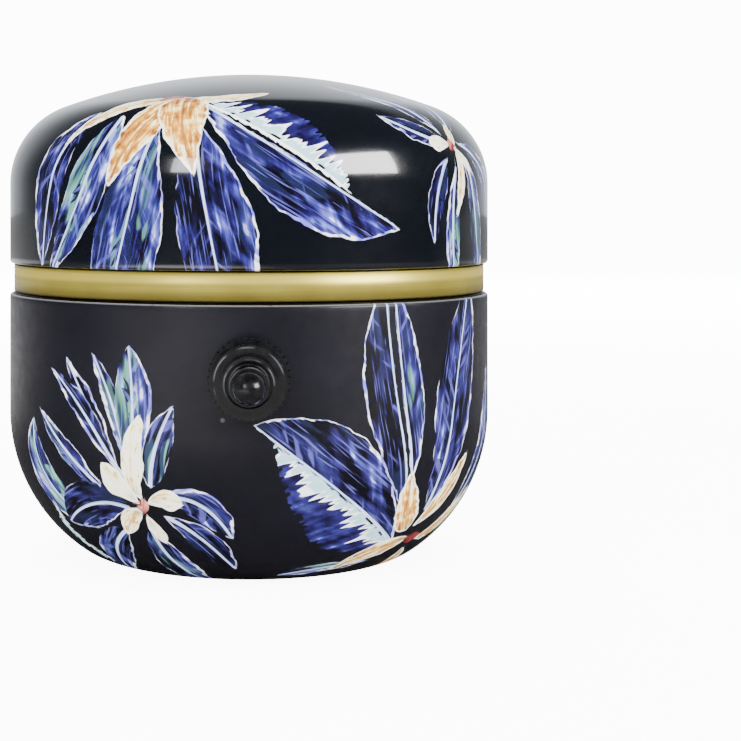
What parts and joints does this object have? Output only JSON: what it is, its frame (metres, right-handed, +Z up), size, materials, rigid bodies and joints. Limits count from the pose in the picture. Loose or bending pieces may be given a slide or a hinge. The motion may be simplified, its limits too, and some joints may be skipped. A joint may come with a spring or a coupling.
{
  "type": "pottery wheel",
  "caption": "Small round electric pottery wheel in a lidded printed tin, with a gold neck band, a front speed knob and a fingertip-size wheel head.",
  "frame": {"origin": "on the table, under the centre of the round tin, at the underside of the rubber pad", "axes": "+Z up along the wheel's axis; the front with the speed knob faces -Y; the power socket is at the back, +Y"},
  "size_m": [0.085, 0.1045, 0.085],
  "materials": {
    "printed_body": "satin printed tinplate with a botanical print",
    "printed_lid": "glossy navy printed tinplate with a botanical print",
    "gold": "satin brushed gold",
    "knob_black": "glossy black",
    "pad_rubber": "matte",
    "basin_plastic": "fine matte white",
    "wheel_alloy": "turned aluminium",
    "brass": "machined brass",
    "steel": "zinc plated steel",
    "can_steel": "drawn plated steel",
    "nylon": "moulded nylon",
    "sintered_bronze": "sintered bronze",
    "ferrite": "dark sintered ferrite",
    "lamination_steel": "stacked laminations",
    "copper": "enamelled copper",
    "carbon": "pressed carbon",
    "phenolic": "phenolic moulding",
    "tinned": "tinned brass contacts",
    "board_green": "solder mask",
    "block_green": "moulded plastic",
    "cap_sleeve": "printed sleeve",
    "chip_black": "moulded epoxy",
    "socket_black": "moulded plastic",
    "wire_red": "insulation",
    "wire_black": "insulation"
  },
  "bodies": {
    "housing": {"tin_body": "printed_body", "neck_ring": "gold", "base_pad": "pad_rubber", "splash_basin": "basin_plastic", "motor_can": "can_steel", "motor_screws": "steel", "motor_end_cap": "nylon", "motor_front_bush": "sintered_bronze", "motor_rear_bush": "sintered_bronze", "motor_magnets": "ferrite", "carbon_brushes": "carbon", "brush_terminals": "tinned", "pot_bush": "steel", "pot_housing": "phenolic", "pot_washer": "steel", "pot_nut": "steel", "pot_terminals": "tinned", "controller_board": "board_green", "terminal_block": "block_green", "terminal_screws": "steel", "filter_capacitor": "cap_sleeve", "driver_chip": "chip_black", "power_transistor": "chip_black", "transistor_legs": "tinned", "power_socket": "socket_black", "socket_pin": "tinned", "socket_nut": "steel", "socket_lugs": "tinned", "motor_wire_red": "wire_red", "motor_wire_black": "wire_black", "supply_wire_red": "wire_red", "supply_wire_black": "wire_black"},
    "lid_shell": {"lid": "printed_lid"},
    "rotor": {"wheel_head": "wheel_alloy", "drive_hub": "brass", "head_screws": "steel", "hub_grub_screw": "steel", "motor_shaft": "steel", "armature_core": "lamination_steel", "armature_windings": "copper", "commutator_sleeve": "phenolic", "commutator_segments": "copper"},
    "speed_control": {"speed_knob": "knob_black", "pot_shaft": "steel"}
  },
  "joints": [
    {"name": "lid_lift", "type": "slide", "parent": "housing", "child": "lid_shell", "axis": [0, 0, 1], "range_m": [0, 0.04]},
    {"name": "wheel_spin", "type": "hinge", "parent": "housing", "child": "rotor", "pos_m": [0, 0, 0.064], "axis": [0, 0, 1], "continuous": true},
    {"name": "knob_turn", "type": "hinge", "parent": "housing", "child": "speed_control", "pos_m": [0, -0.0425, 0.0353], "axis": [0, 1, 0], "range_deg": [0, 300]}
  ]
}
